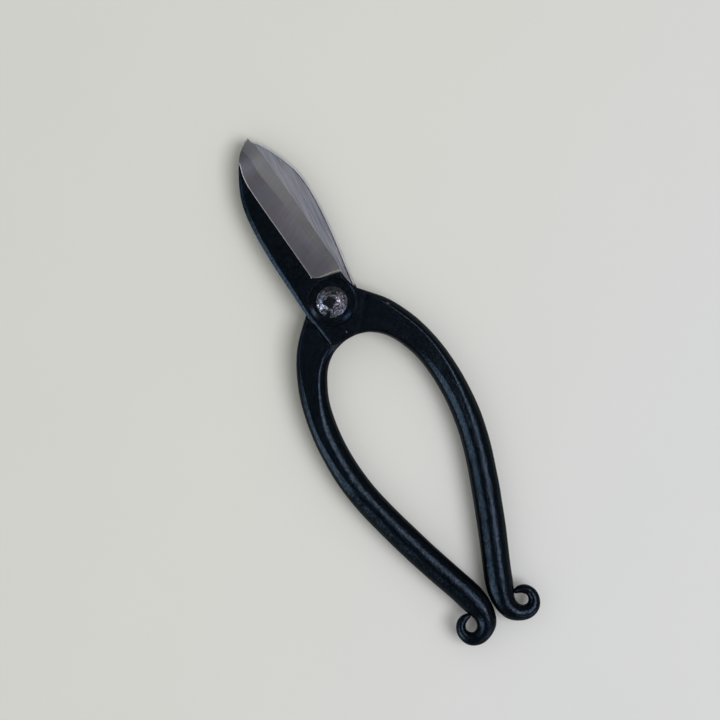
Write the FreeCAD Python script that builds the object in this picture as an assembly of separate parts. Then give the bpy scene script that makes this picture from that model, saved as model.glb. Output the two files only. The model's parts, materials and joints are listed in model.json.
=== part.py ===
import FreeCAD, Part
import math
import os
from FreeCAD import Vector

# Forged flower-arranging scissors with curled handle ends, in millimetres.
# Origin: where the pivot axis meets the plane that the lower rivet head rests on.
# +Y runs from the pivot to the blade tips, +X to the right, +Z up. The blades are closed.
# The upper half has its blade at -X and its handle at +X. The lower half is the same forging
# turned over about the long axis.

# Stack of the pivot, from the resting plane up
HEAD_HEIGHT = 1.65          # domed rivet head
WASHER_THICKNESS = 1.0
SPOT_FACE_DEPTH = 0.25      # seat ground into each half for its washer
LAP_THICKNESS = 4.3         # each half at the pivot
RUNNING_GAP = 0.02          # clearance on each sliding face
MID_Z = HEAD_HEIGHT + WASHER_THICKNESS - SPOT_FACE_DEPTH + LAP_THICKNESS

# Pivot
SHANK_RADIUS = 2.5
BORE_CLEARANCE = 0.04       # radial, in the half that turns on the shank
HEAD_RADIUS = 4.85
HEAD_FLAT_RADIUS = 1.8      # hammered facet on top of each head
HEAD_RIM = 0.3              # height of the upright rim below the dome
HEAD_BULGE = (0.35, 0.3)    # how far the dome's arc stands out and up from the straight line under it
WASHER_RADIUS = 6.9
WASHER_ROUND = 0.9          # rounding of the washer's outer edge
SPOT_FACE_RADIUS = 7.4

# Blade
TIP = (0.75, 56.2)
SPINE = [TIP, (-2.45, 54.0), (-6.35, 48.2), (-9.4, 41.5), (-10.85, 34.0), (-10.95, 28.0),
         (-10.5, 18.0), (-9.7, 9.0), (-8.85, 1.0)]
SPINE_FOOT = (-6.65, -11.5)     # lower end of the straight edge that carries the spine past the pivot
CUTTING_EDGE = [(7.05, 7.6), (6.35, 15.0), (5.35, 25.0), (4.35, 34.0), (3.3, 42.0), (2.3, 50.0), TIP]
BEVEL_HEEL = (-2.05, 9.3)       # corner where the ground bevel starts, beside the pivot
HEEL_END = (7.6, 7.1)           # other end of the heel line, at the cutting edge
# Ground bevel at stations along the blade: y, x of its border, x of the cutting edge
BEVEL = [(5.0, -1.55, 7.3), (20.0, -3.35, 5.85), (34.0, -5.05, 4.35), (45.5, -6.45, 2.9),
         (50.0, -5.6, 2.3), (54.0, -2.6, 1.35), (57.0, -2.2, 0.6)]
BEVEL_REACH = 2.5               # how far the bevel's cut runs past the blade on each side
HEEL_REACH = 4.0                # the same for the heel line, in lengths of that line
EDGE_LAND = 0.4                 # thickness left at the cutting edge
TIP_THICKNESS = 2.0             # spine thickness at the tip
TAPER_START_Y = 8.0             # the blade gets thinner from here to the tip
EDGE_STEEL_THICKNESS = 1.3
EDGE_STEEL_START_Y = 7.35
SPINE_CHAMFER_WIDTH = 1.3
SPINE_CHAMFER_DEPTH = 0.7
LAP_CHAMFER = 0.7
CHAMFER_REACH = 2.0             # how far a chamfer's cut runs past the edge
CHAMFER_OVERLAP = 0.05          # how far the foot's chamfer runs into the spine's
CUT_MARGIN = 1.0                # how far other cuts run past the metal they take away

# Hollow ground into the inner face of each blade
HOLLOW_DEPTH = 0.25
HOLLOW_RADIUS = 50.0            # across the blade
HOLLOW_START_Y = 11.0
HOLLOW_END_Y = 45.0
HOLLOW_CENTRE_X = -2.9

# Lap outline beside and below the pivot
NECK = [(8.55, 0.45), (7.7, 2.6), (7.0, 5.0), (6.8, 7.3)]
CROTCH = (0.3, -12.0)
LAP_IN_BOW_OUTER = (9.6, -3.4)  # these two corners are hidden inside the bow
LAP_IN_BOW_INNER = (3.6, -11.0)

# Bow and curl: stations of the bar's centre line (x, y), width across, and full height before the
# flats are hammered at the lap's thickness
BAR = [
    (5.05, -5.7, 14.4, 15.0),
    (9.9, -9.2, 11.6, 12.6),
    (13.75, -13.3, 10.0, 11.2),
    (16.65, -18.6, 9.1, 10.4),
    (18.65, -24.0, 8.6, 10.0),
    (20.1, -31.0, 8.35, 9.7),
    (20.75, -40.0, 8.3, 9.3),
    (20.2, -50.0, 8.4, 8.8),
    (18.3, -60.0, 8.5, 8.4),
    (15.35, -70.0, 8.6, 8.4),
    (12.0, -80.0, 8.6, 8.4),
    (8.3, -90.0, 8.5, 8.4),
    (6.0, -96.0, 8.45, 8.3),
    (4.4, -101.0, 8.2, 7.9),
    (3.65, -105.0, 6.9, 7.2),
    (4.4, -108.5, 5.95, 6.4),
    (6.6, -110.55, 4.8, 5.5),
    (8.7, -111.1, 4.4, 4.8),
    (10.7, -110.45, 4.0, 4.3),
    (11.95, -108.7, 3.5, 3.8),
    (12.15, -106.85, 3.15, 3.5),
    (11.45, -105.25, 2.9, 3.2),
    (10.1, -104.2, 2.6, 2.9),
    (8.85, -103.9, 2.1, 2.5),
    (8.2, -103.9, 1.7, 2.1),
]

SECTION_POINTS = 16
SPINE_STATIONS = 12
NECK_STATIONS = 4

# Travel: the open limit is where one spine meets the other half's shoulder
OPEN_ANGLE = 30.0
SHOULDER_GAP = 0.25
FAR = 200.0                     # larger than the whole object


def at(point, z=0.0):
    return Vector(point[0], point[1], z)


def curve_through(points, z=0.0):
    curve = Part.BSplineCurve()
    curve.interpolate([at(p, z) for p in points])
    return curve


def blade_and_lap_blank(z):
    """Flat blank of one half's blade and lap, standing on z."""
    edges = [
        curve_through(SPINE, z).toShape(),
        Part.makeLine(at(SPINE[-1], z), at(SPINE_FOOT, z)),
        Part.makeLine(at(SPINE_FOOT, z), at(CROTCH, z)),
        Part.makeLine(at(CROTCH, z), at(LAP_IN_BOW_INNER, z)),
        Part.makeLine(at(LAP_IN_BOW_INNER, z), at(LAP_IN_BOW_OUTER, z)),
        Part.makeLine(at(LAP_IN_BOW_OUTER, z), at(NECK[0], z)),
        curve_through(NECK, z).toShape(),
        Part.makeLine(at(NECK[-1], z), at(CUTTING_EDGE[0], z)),
        curve_through(CUTTING_EDGE, z).toShape(),
    ]
    face = Part.Face(Part.Wire(Part.__sortEdges__(edges)))
    return face.extrude(Vector(0, 0, LAP_THICKNESS - RUNNING_GAP))


def taper_cutter():
    """Everything above the blade's outer face, which drops steadily from the pivot to the tip."""
    top = MID_Z + LAP_THICKNESS
    end_y = TIP[1] + CUT_MARGIN
    profile = [
        Vector(-FAR, TAPER_START_Y, top),
        Vector(-FAR, TIP[1], MID_Z + TIP_THICKNESS),
        Vector(-FAR, end_y, MID_Z + TIP_THICKNESS),
        Vector(-FAR, end_y, top + FAR),
        Vector(-FAR, TAPER_START_Y, top + FAR),
    ]
    return Part.Face(Part.makePolygon(profile + profile[:1])).extrude(Vector(2 * FAR, 0, 0))


def outer_face_height(y):
    share = max(0.0, (y - TAPER_START_Y) / (TIP[1] - TAPER_START_Y))
    return LAP_THICKNESS + share * (TIP_THICKNESS - LAP_THICKNESS)


def bevel_cutter():
    """Everything above the ground bevel, which drops from its border to the cutting edge."""
    sections = []
    for y, border_x, edge_x in BEVEL:
        top = outer_face_height(y)
        slope = (top - EDGE_LAND) / (edge_x - border_x)
        low_x, high_x = border_x - BEVEL_REACH, edge_x + BEVEL_REACH
        low_z = MID_Z + EDGE_LAND - slope * BEVEL_REACH
        high_z = MID_Z + top + slope * BEVEL_REACH
        corners = [Vector(low_x, y, high_z), Vector(high_x, y, low_z),
                   Vector(high_x, y, FAR), Vector(low_x, y, FAR)]
        sections.append(Part.makePolygon(corners + corners[:1]))
    bevel = Part.makeLoft(sections, True, True)
    run = (at(HEEL_END) - at(BEVEL_HEEL)) * HEEL_REACH
    left = at(BEVEL_HEEL) - run
    right = at(BEVEL_HEEL) + run
    down = Vector(0, -FAR, 0)
    outline = Part.makePolygon([left, right, right + down, left + down, left])
    return bevel.cut(Part.Face(outline).extrude(Vector(0, 0, 2 * FAR)))


def hollow_cutter():
    """Barrel whose crown sinks HOLLOW_DEPTH into the blade's inner face."""
    middle_y = (HOLLOW_START_Y + HOLLOW_END_Y) / 2
    axis_z = MID_Z + RUNNING_GAP - HOLLOW_RADIUS
    low = Vector(HOLLOW_CENTRE_X, HOLLOW_START_Y, MID_Z + RUNNING_GAP)
    crown = Vector(HOLLOW_CENTRE_X, middle_y, MID_Z + RUNNING_GAP + HOLLOW_DEPTH)
    high = Vector(HOLLOW_CENTRE_X, HOLLOW_END_Y, MID_Z + RUNNING_GAP)
    foot = Vector(HOLLOW_CENTRE_X, HOLLOW_END_Y, axis_z)
    start = Vector(HOLLOW_CENTRE_X, HOLLOW_START_Y, axis_z)
    edges = [
        Part.Arc(low, crown, high).toShape(),
        Part.makeLine(high, foot),
        Part.makeLine(foot, start),
        Part.makeLine(start, low),
    ]
    return Part.Face(Part.Wire(edges)).revolve(start, Vector(0, 1, 0), 360)


def bar_section(centre, tangent, width, height):
    """Closed elliptical curve across the bar, starting on the side away from the bow's inside."""
    across = Vector(tangent.y, -tangent.x, 0)
    across.normalize()
    points = []
    for step in range(SECTION_POINTS):
        angle = 2 * math.pi * step / SECTION_POINTS
        points.append(centre + across * (math.cos(angle) * width / 2)
                      + Vector(0, 0, math.sin(angle) * height / 2))
    curve = Part.BSplineCurve()
    curve.interpolate(Points=points, PeriodicFlag=True)
    return Part.Wire(curve.toShape())


def bow_and_curl():
    """The handle: a forged bar, flattened on both faces near the pivot and drawn out into a curl."""
    line = curve_through([(x, y) for x, y, _, _ in BAR], MID_Z)
    sections = []
    for x, y, width, height in BAR:
        centre = Vector(x, y, MID_Z)
        tangent = line.tangent(line.parameter(centre))[0]
        sections.append(bar_section(centre, tangent, width, height))
    bar = Part.makeLoft(sections, True, False)
    flats = Part.makeBox(2 * FAR, 2 * FAR, 2 * LAP_THICKNESS, Vector(-FAR, -FAR, MID_Z - LAP_THICKNESS))
    return bar.common(flats)


def block_before_line(angle, distance):
    """Block on the pivot's side of a line, given by its normal's angle, up to the sliding face."""
    block = Part.makeBox(FAR + distance, 2 * FAR, FAR + RUNNING_GAP, Vector(-FAR, -FAR, -FAR))
    block.rotate(Vector(0, 0, 0), Vector(0, 0, 1), angle)
    block.translate(Vector(0, 0, MID_Z))
    return block


def swept_edge(point, other, turn):
    """Line that the other half's straight edge lies on after it turns, as normal angle and distance."""
    run = Vector(other[0] - point[0], other[1] - point[1], 0)
    normal = Vector(run.y, -run.x, 0)
    normal.normalize()
    distance = normal.x * point[0] + normal.y * point[1]
    if distance < 0:
        normal = -normal
        distance = -distance
    return math.degrees(math.atan2(normal.y, normal.x)) + turn, distance


def turned_over(point):
    return (-point[0], point[1])


def cut_shoulder(bow):
    """Frees the lower level of the bow for the other half's lap, closed, open and in between."""
    corner = turned_over(SPINE[-1])
    closed = swept_edge(corner, turned_over(SPINE_FOOT), 0)
    opened = swept_edge(corner, turned_over(SPINE[-3]), -OPEN_ANGLE)
    for angle, distance in (closed, opened):
        bow = bow.cut(block_before_line(angle, distance + SHOULDER_GAP))
    base = Vector(0, 0, MID_Z + RUNNING_GAP - FAR)
    return bow.cut(Part.makeCylinder(math.hypot(*corner) + SHOULDER_GAP, FAR, base))


def chamfer_section(point, outward, top, width, depth):
    """Triangle that takes the corner off one station of an edge whose top lies at height top."""
    inner = point - outward * width
    reach = point + outward * CHAMFER_REACH
    low = top - depth * (width + CHAMFER_REACH) / width
    corners = [
        Vector(inner.x, inner.y, top),
        Vector(reach.x, reach.y, low),
        Vector(reach.x, reach.y, top + CHAMFER_REACH),
        Vector(inner.x, inner.y, top + CHAMFER_REACH),
    ]
    return Part.makePolygon(corners + corners[:1])


def chamfer_cutter(points, width, depth, stations):
    """Sloping cut along a curve through points, with the solid on the curve's left."""
    outline = curve_through(points)
    sections = []
    for step in range(stations + 1):
        share = step / stations
        place = outline.FirstParameter + (outline.LastParameter - outline.FirstParameter) * share
        point = outline.value(place)
        tangent = outline.tangent(place)[0]
        outward = Vector(tangent.y, -tangent.x, 0)
        outward.normalize()
        top = MID_Z + outer_face_height(point.y)
        sections.append(chamfer_section(point, outward, top, width, depth))
    return Part.makeLoft(sections, True, True)


def beyond(start, end, distance):
    """Point on the line from start to end, a distance past its end."""
    run = at(end) - at(start)
    run.normalize()
    point = at(end) + run * distance
    return (point.x, point.y)


def chamfered(body):
    """Blank with its spine, the straight foot of the spine and the neck chamfered."""
    foot_end = beyond(SPINE[-1], SPINE_FOOT, CHAMFER_REACH)
    foot_start = beyond(SPINE_FOOT, SPINE[-1], CHAMFER_OVERLAP)
    body = body.cut(chamfer_cutter(SPINE, SPINE_CHAMFER_WIDTH, SPINE_CHAMFER_DEPTH, SPINE_STATIONS))
    body = body.cut(chamfer_cutter([foot_start, foot_end], SPINE_CHAMFER_WIDTH, SPINE_CHAMFER_DEPTH, 1))
    return body.cut(chamfer_cutter(NECK, LAP_CHAMFER, LAP_CHAMFER, NECK_STATIONS))


def upper_forging():
    """Blade, lap, bow and curl of the upper half as one solid, before the edge steel is split off."""
    floor = MID_Z + RUNNING_GAP
    body = chamfered(blade_and_lap_blank(floor).cut(taper_cutter()))
    body = body.cut(bevel_cutter()).cut(hollow_cutter())
    body = body.fuse(cut_shoulder(bow_and_curl())).removeSplitter()
    seat = Part.makeCylinder(SPOT_FACE_RADIUS, FAR, Vector(0, 0, MID_Z + LAP_THICKNESS - SPOT_FACE_DEPTH))
    return body.cut(seat)


def bored(shape, radius):
    return shape.cut(Part.makeCylinder(radius, 2 * FAR, Vector(0, 0, -FAR)))


def split_edge_steel(forging):
    """Forging without its edge steel, and the edge steel: the layer next to the sliding face."""
    corner = Vector(-FAR, EDGE_STEEL_START_Y, MID_Z - CUT_MARGIN)
    layer = Part.makeBox(2 * FAR, FAR, EDGE_STEEL_THICKNESS + CUT_MARGIN, corner)
    return forging.cut(layer), forging.common(layer)


def turn_over(shape):
    turned = shape.copy()
    turned.rotate(Vector(0, 0, MID_Z), Vector(0, 1, 0), 180)
    return turned


def revolved(profile):
    """Solid turned about the pivot axis from a closed outline of (radius, z) edges."""
    return Part.Face(Part.Wire(profile)).revolve(Vector(0, 0, 0), Vector(0, 0, 1), 360)


def washer(z):
    """Flat washer with a rounded outer edge on its upper face, standing on z."""
    ring = Part.makeCylinder(WASHER_RADIUS, WASHER_THICKNESS, Vector(0, 0, z))
    rim = [e for e in ring.Edges if abs(e.BoundBox.ZMin - z - WASHER_THICKNESS) < 0.01]
    return bored(ring.makeFillet(WASHER_ROUND, rim), SHANK_RADIUS)


def head_profile(base_z, direction):
    """Edges of one domed head from its flat facet to the shank, drawn up or down from base_z."""
    facet = Vector(HEAD_FLAT_RADIUS, 0, base_z + direction * HEAD_HEIGHT)
    rim_top = Vector(HEAD_RADIUS, 0, base_z + direction * HEAD_RIM)
    rim_foot = Vector(HEAD_RADIUS, 0, base_z)
    shank = Vector(SHANK_RADIUS, 0, base_z)
    middle = (facet + rim_top) / 2
    bulge = middle + Vector(HEAD_BULGE[0], 0, direction * HEAD_BULGE[1])
    pole = Vector(0, 0, facet.z)
    return [
        Part.makeLine(pole, facet),
        Part.Arc(facet, bulge, rim_top).toShape(),
        Part.makeLine(rim_top, rim_foot),
        Part.makeLine(rim_foot, shank),
    ]


def pivot_rivet():
    """One rivet: two domed heads on a shank that passes through both washers and both halves."""
    low = HEAD_HEIGHT
    high = 2 * MID_Z - low + RUNNING_GAP
    top = head_profile(high, 1)
    bottom = head_profile(low, -1)
    shank = Part.makeLine(Vector(SHANK_RADIUS, 0, low), Vector(SHANK_RADIUS, 0, high))
    axis = Part.makeLine(Vector(0, 0, low - HEAD_HEIGHT), Vector(0, 0, high + HEAD_HEIGHT))
    return revolved(Part.__sortEdges__(top + bottom + [shank, axis]))


def build():
    forging = upper_forging()
    body, edge_steel = split_edge_steel(forging)
    seat_z = MID_Z + LAP_THICKNESS - SPOT_FACE_DEPTH
    return {
        "upper_half": bored(body, SHANK_RADIUS + BORE_CLEARANCE),
        "upper_edge_steel": edge_steel,
        "lower_half": bored(turn_over(body), SHANK_RADIUS),
        "lower_edge_steel": turn_over(edge_steel),
        "pivot_rivet": pivot_rivet(),
        "top_washer": washer(seat_z + RUNNING_GAP),
        "bottom_washer": turn_over(washer(seat_z)),
    }


os.makedirs("parts", exist_ok=True)
for name, shape in build().items():
    shape.Solids[0].exportStep("parts/" + name + ".step")
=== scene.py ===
import json
import math

import bmesh
import bpy
import numpy as np
from mathutils import Matrix, Vector, noise

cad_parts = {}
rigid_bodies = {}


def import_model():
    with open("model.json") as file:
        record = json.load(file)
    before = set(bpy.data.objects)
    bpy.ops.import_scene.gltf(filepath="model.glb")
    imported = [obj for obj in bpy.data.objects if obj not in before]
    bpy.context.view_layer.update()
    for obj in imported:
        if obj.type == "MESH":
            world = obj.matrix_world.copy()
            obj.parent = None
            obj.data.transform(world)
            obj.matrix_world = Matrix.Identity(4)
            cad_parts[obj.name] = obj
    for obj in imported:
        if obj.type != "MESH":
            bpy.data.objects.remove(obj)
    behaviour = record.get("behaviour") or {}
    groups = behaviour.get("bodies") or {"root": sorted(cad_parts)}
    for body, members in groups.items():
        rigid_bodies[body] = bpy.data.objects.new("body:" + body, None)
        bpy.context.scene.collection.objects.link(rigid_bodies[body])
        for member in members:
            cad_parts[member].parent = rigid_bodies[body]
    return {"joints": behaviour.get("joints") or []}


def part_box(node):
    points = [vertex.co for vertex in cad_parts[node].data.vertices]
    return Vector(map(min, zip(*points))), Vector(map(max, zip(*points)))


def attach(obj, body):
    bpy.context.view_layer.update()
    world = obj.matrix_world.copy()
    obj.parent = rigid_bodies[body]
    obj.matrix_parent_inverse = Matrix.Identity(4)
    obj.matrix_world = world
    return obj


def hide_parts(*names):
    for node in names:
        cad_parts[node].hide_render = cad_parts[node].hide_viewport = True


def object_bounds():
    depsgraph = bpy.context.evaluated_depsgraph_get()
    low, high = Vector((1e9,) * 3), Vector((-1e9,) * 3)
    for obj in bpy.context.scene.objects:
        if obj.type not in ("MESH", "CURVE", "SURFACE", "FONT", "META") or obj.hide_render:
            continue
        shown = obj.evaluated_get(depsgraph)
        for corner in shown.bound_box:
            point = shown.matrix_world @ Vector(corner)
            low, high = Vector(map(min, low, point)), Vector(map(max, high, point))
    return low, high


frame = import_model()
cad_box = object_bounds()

# Forged flower-arranging scissors. Shapes are worked out in millimetres around the pivot: x and y as in
# the frame, h is the height above the sliding face between the two halves. Every shape is written for the
# upper half, with its blade at -x and its handle at +x. The lower half is the same forging turned over.

MM = 0.001
PIVOT = Vector(frame["joints"][0]["pos_m"])
UPPER, LOWER = frame["joints"][0]["child"], frame["joints"][0]["parent"]

HEAD_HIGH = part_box("pivot_rivet")[1]
WASHER_LOW, WASHER_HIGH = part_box("top_washer")
HALF_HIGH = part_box("upper_half")[1]
STEEL_LOW, STEEL_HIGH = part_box("upper_edge_steel")

HEAD_RADIUS = HEAD_HIGH.x / MM
HEAD_BASE = (WASHER_HIGH.z - PIVOT.z) / MM
HEAD_HEIGHT = (HEAD_HIGH.z - WASHER_HIGH.z) / MM
SPOT_FACE = (WASHER_LOW.z - PIVOT.z) / MM        # height of the seat under the washer
SPOT_FACE_RADIUS = WASHER_HIGH.x / MM + 0.25     # the seat, a little wider than the washer
SPOT_FACE_WALL = 1.7                             # run of its sloping wall for each unit of height
LAP = (HALF_HIGH.z - PIVOT.z) / MM               # thickness of one half at the pivot
GAP = (STEEL_LOW.z - PIVOT.z) / MM               # clearance of the sliding face
STEEL = (STEEL_HIGH.z - PIVOT.z) / MM            # thickness of the edge steel
STEEL_START = STEEL_LOW.y / MM
TIP_Y = STEEL_HIGH.y / MM
SHANK_RADIUS = 2.5
BORE_RADIUS = 2.54                               # in the upper half, which turns on the shank
RIVET_SPOKES, WASHER_SPOKES, BORE_SPOKES = 160, 120, 48      # points around each round shape

# Blade outline, by y from the tip down
SPINE = [(TIP_Y, 0.72), (55.4, -0.5), (54.0, -2.45), (51.3, -4.7), (48.2, -6.5), (44.0, -8.5), (41.0, -9.6),
         (36.0, -10.6), (32.0, -10.9), (28.0, -10.95), (23.0, -10.8), (18.0, -10.5), (12.0, -9.95),
         (6.0, -9.35), (1.0, -8.85)]
CUTTING_EDGE = [(TIP_Y, 0.8), (55.2, 1.0), (53.5, 1.5), (50.0, 2.35), (46.0, 2.8), (42.0, 3.35), (38.0, 3.8),
                (34.0, 4.35), (30.0, 4.8), (25.0, 5.35), (20.0, 5.9), (15.0, 6.4), (10.0, 6.95), (7.3, 7.1)]
FOOT = (-6.65, -11.5)           # lower end of the straight edge that carries the spine past the pivot
TIP_THICKNESS = 2.0
TAPER_START = 8.0               # y from which the blade gets thinner towards the tip
EDGE_LAND = 0.35                # thickness left at the cutting edge

# Ground bevel: (y, x) of its upper border, then (x, y) of the heel line beside the pivot
BORDER = [(57.5, -7.0), (54.0, -5.7), (51.5, -5.2), (49.8, -5.2), (48.0, -5.65), (45.8, -6.0), (43.0, -6.05),
          (39.6, -5.75), (34.0, -5.1), (28.0, -4.35), (20.0, -3.35), (9.3, -2.05), (4.0, -1.4)]
HEEL = [(-2.05, 9.3), (-0.45, 8.5), (1.6, 8.05), (3.6, 7.8), (5.6, 7.5), (7.6, 7.05)]

# Bar of the bow and curl: x, y, width across, height of the round stock
BAR = [
    (9.9, -9.2, 11.6, 12.6),
    (13.75, -13.3, 10.0, 11.2),
    (16.65, -18.6, 9.1, 10.4),
    (18.65, -24.0, 8.6, 10.0),
    (20.1, -31.0, 8.35, 9.7),
    (20.75, -40.0, 8.3, 9.3),
    (20.2, -50.0, 8.4, 8.8),
    (18.3, -60.0, 8.5, 8.4),
    (15.35, -70.0, 8.6, 8.4),
    (12.0, -80.0, 8.6, 8.4),
    (8.3, -90.0, 8.5, 8.4),
    (6.0, -96.0, 8.45, 8.3),
    (4.4, -101.0, 8.2, 7.9),
    (3.65, -105.0, 6.9, 7.2),
    (4.4, -108.5, 5.95, 6.4),
    (6.6, -110.55, 4.8, 5.5),
    (8.7, -111.1, 4.4, 4.8),
    (10.7, -110.45, 4.0, 4.3),
    (11.95, -108.7, 3.5, 3.8),
    (12.15, -106.85, 3.15, 3.5),
    (11.45, -105.25, 2.9, 3.2),
    (10.1, -104.2, 2.6, 2.9),
    (8.85, -103.9, 2.1, 2.5),
    (8.2, -103.9, 1.7, 2.1),
]
# How far each of the first bar stations has left the lap's section
BOW_WEIGHT = [0.35, 0.6, 0.8, 0.93, 1.0]

# Hammered flat of the bar, by y: share of the width that slopes away on the inner and the outer side of the
# upper face, then on the inner and the outer side of the lower face
ROUND = 0.485                   # share that leaves no flat, where the bar is round
SLOPES = [
    (-9.2, 0.07, 0.12, 0.17, 0.095),
    (-13.3, 0.09, 0.21, 0.24, 0.12),
    (-18.6, 0.12, 0.24, 0.31, 0.175),
    (-24.0, 0.20, 0.255, 0.36, 0.23),
    (-31.0, 0.31, 0.295, 0.47, 0.22),
    (-40.0, 0.36, 0.36, 0.53, 0.28),
    (-50.0, 0.39, 0.44, 0.55, 0.34),
    (-60.0, ROUND, ROUND, ROUND, ROUND),
]
# Steepness of each of those four slopes at the crease, and how squarely it turns over the side
SLOPE_START = [0.30, 0.08, 0.05, 0.52]
SLOPE_TURN = [2.3, 2.0, 2.0, 3.6]
ROUND_TURN = 2.0                # the same for round stock
HAMMERED_FROM, HAMMERED_TO = -46.0, -60.0       # y over which the hammered flats fade into round stock


# ---------------------------------------------------------------- curves and meshes

def natural_spline(ts, values):
    """Second derivatives of the natural cubic spline through values at ts."""
    n = len(ts)
    a = np.zeros((n, n))
    b = np.zeros((n, values.shape[1]))
    a[0, 0] = a[-1, -1] = 1.0
    for i in range(1, n - 1):
        h0, h1 = ts[i] - ts[i - 1], ts[i + 1] - ts[i]
        a[i, i - 1], a[i, i], a[i, i + 1] = h0, 2 * (h0 + h1), h1
        b[i] = 6 * ((values[i + 1] - values[i]) / h1 - (values[i] - values[i - 1]) / h0)
    return np.linalg.solve(a, b)


def spline_at(ts, values, second, t):
    """Value of that spline at t."""
    i = int(np.clip(np.searchsorted(ts, t) - 1, 0, len(ts) - 2))
    h = ts[i + 1] - ts[i]
    u, v = (ts[i + 1] - t) / h, (t - ts[i]) / h
    bend = (u ** 3 - u) * second[i] + (v ** 3 - v) * second[i + 1]
    return u * values[i] + v * values[i + 1] + bend * h * h / 6


class Curve:
    """Smooth curve through rows of numbers, by chord length or by a given parameter."""

    def __init__(self, rows, ts=None):
        self.values = np.array(rows, float)
        if ts is None:
            steps = np.linalg.norm(np.diff(self.values[:, :2], axis=0), axis=1)
            ts = np.concatenate([[0], np.cumsum(steps)])
        self.ts = np.array(ts, float)
        self.second = natural_spline(self.ts, self.values)

    def __call__(self, t):
        return spline_at(self.ts, self.values, self.second, t)

    def tangent(self, t):
        d = self(t + 0.01) - self(t - 0.01)
        return d[:2] / np.linalg.norm(d[:2])


def by_y(points):
    """Function that gives x on an outline listed as (y, x) from the top down."""
    ordered = sorted(points)
    curve = Curve([[x] for _, x in ordered], [y for y, _ in ordered])
    return lambda y: float(curve(y)[0])


spine_x = by_y(SPINE)
edge_x = by_y(CUTTING_EDGE)
border_x = by_y(BORDER)


def smooth_step(low, high, x):
    """0 below low, 1 above high, and an even curve between them."""
    t = min(1.0, max(0.0, (x - low) / (high - low)))
    return t * t * (3 - 2 * t)


def top_height(y):
    """Height of the blade's outer face, which drops steadily to the tip."""
    return LAP + (TIP_THICKNESS - LAP) * max(0.0, (y - TAPER_START) / (TIP_Y - TAPER_START))


def mesh_object(name, vertices, faces, materials, face_material=None):
    """Closed mesh piece, with its faces turned outwards."""
    mesh = bpy.data.meshes.new(name)
    mesh.from_pydata([tuple(v) for v in vertices], [], faces)
    for material in materials:
        mesh.materials.append(material)
    if face_material is not None:
        mesh.polygons.foreach_set("material_index", face_material)
    mesh.update()
    shape = bmesh.new()
    shape.from_mesh(mesh)
    bmesh.ops.recalc_face_normals(shape, faces=shape.faces)
    shape.to_mesh(mesh)
    shape.free()
    thing = bpy.data.objects.new(name, mesh)
    bpy.context.scene.collection.objects.link(thing)
    return thing


def ring_faces(rings, size):
    """Quads between neighbouring rings of one size, with both ends closed."""
    faces = []
    for i in range(rings - 1):
        for k in range(size):
            a, b = i * size + k, i * size + (k + 1) % size
            faces.append((a, b, b + size, a + size))
    faces.append(tuple(reversed(range(size))))
    faces.append(tuple(range((rings - 1) * size, rings * size)))
    return faces


def bake_modifiers(thing):
    """Applies a piece's modifiers to its mesh."""
    bpy.context.view_layer.update()
    graph = bpy.context.evaluated_depsgraph_get()
    mesh = bpy.data.meshes.new_from_object(thing.evaluated_get(graph), depsgraph=graph)
    thing.modifiers.clear()
    thing.data = mesh


def cut(thing, cutter, operation="DIFFERENCE", keep_cutter=False):
    """Boolean of a piece with a cutter, whose faces bring their own material."""
    modifier = thing.modifiers.new("cut", "BOOLEAN")
    modifier.operation = operation
    modifier.solver = "MANIFOLD"
    modifier.material_mode = "TRANSFER"
    modifier.object = cutter
    bake_modifiers(thing)
    if not keep_cutter:
        bpy.data.objects.remove(cutter)


def placed(point, half):
    """Row-frame position in metres of (x, y, h) in millimetres on a half."""
    x, y, h = point
    if half == LOWER:
        x, h = -x, -h
    return (PIVOT.x + x * MM, PIVOT.y + y * MM, PIVOT.z + h * MM)


def prism(name, outline, low, high, half, material):
    """Upright block over an outline of (x, y), from height low to high."""
    n = len(outline)
    points = [placed((x, y, h), half) for h in (low, high) for x, y in outline]
    faces = [(i, (i + 1) % n, n + (i + 1) % n, n + i) for i in range(n)]
    faces += [tuple(reversed(range(n))), tuple(range(n, 2 * n))]
    return mesh_object(name, points, faces, [material])


def circle(radius, count):
    """Outline of (x, y) around the pivot."""
    return [(radius * math.cos(2 * math.pi * i / count), radius * math.sin(2 * math.pi * i / count))
            for i in range(count)]


def lathe(name, rings, material, half, closed=False):
    """Closed mesh through rings of (x, y, h), capped at both ends, or joined end to end."""
    size = len(rings[0])
    points = [placed(p, half) for ring in rings for p in ring]
    if closed:
        count = len(rings)
        faces = [(i * size + k, i * size + (k + 1) % size, (i + 1) % count * size + (k + 1) % size,
                  (i + 1) % count * size + k) for i in range(count) for k in range(size)]
    else:
        faces = ring_faces(len(rings), size)
    return mesh_object(name, points, faces, [material])


# ---------------------------------------------------------------- the forging

SIDE = 0.35                 # half the height of the upright side of the round bar
CREASE = 0.08               # distance of the nearest points from a crease, which keeps it crisp
TURN = np.sin(np.pi / 2 * np.concatenate([np.linspace(1, 0.1, 13), [0.04, 0.0]]))
FILLET = 0.28               # share of a chamfer's width that is rounded
CHAMFER_DROP = (0.55, 0.9)  # drop of the left and of the right chamfer, as a share of its width
ROUND_REACH = 0.62          # widest slope of the bar, as a share of its width
FLAT_POINTS = 18
CURL_END_ANGLES = (25, 50, 70, 84)      # rings that round off the curl's end, in degrees
CURL_END_LENGTH = 0.9       # length of that end, in half widths of the bar
UNEVEN = 0.06               # height of the unevenness left by the hammer
BLADE_STEP, LAP_STEP, BOW_STEP = 0.7, 0.6, 0.55     # spacing of the rings
ACROSS = 2 * len(TURN) + FLAT_POINTS


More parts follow.
